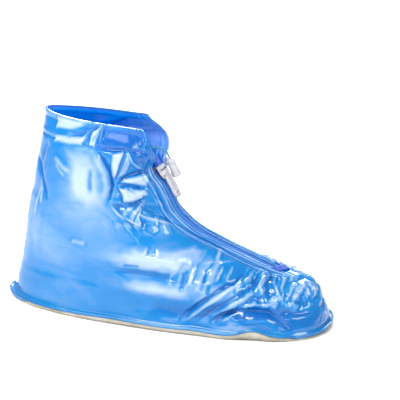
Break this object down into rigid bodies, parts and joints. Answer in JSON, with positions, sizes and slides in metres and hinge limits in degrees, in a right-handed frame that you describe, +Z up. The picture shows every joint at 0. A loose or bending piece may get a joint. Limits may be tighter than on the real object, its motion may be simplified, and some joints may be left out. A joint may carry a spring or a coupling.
{
  "type": "zipped rain shoe cover",
  "caption": "Ankle-high waterproof overshoe of glossy film on a flat sole sheet, with a front zip, a hinged pull tab and a drawcord at the open cuff.",
  "frame": {"origin": "on the floor, below the middle of the sole's outline", "axes": "+X from heel to toe, +Z up, -Y is the side that the picture shows"},
  "size_m": [0.2929, 0.106, 0.1747],
  "materials": {
    "film": "glossy translucent PVC film",
    "sole": "matt anti-slip sheet",
    "tape": "coated woven tape",
    "coil": "moulded coil",
    "patch": "welded film patch",
    "gusset": "thin film",
    "stop": "dull bronze",
    "cord": "braided cord",
    "white_plastic": "translucent moulded plastic"
  },
  "bodies": {
    "cover": {"upper": "film", "sole": "sole", "zip_tape_near": "tape", "zip_tape_far": "tape", "zip_chain": "coil", "zip_end_patch": "patch", "gusset": "gusset", "top_stop": "stop", "drawcord": "cord", "slider": "white_plastic", "cord_end": "white_plastic"},
    "tab": {"pull_tab": "white_plastic"}
  },
  "joints": [
    {"name": "tab_hinge", "type": "hinge", "parent": "cover", "child": "tab", "pos_m": [-0.00065, 0, 0.12525], "axis": [0, -1, 0], "range_deg": [0, 130]}
  ]
}
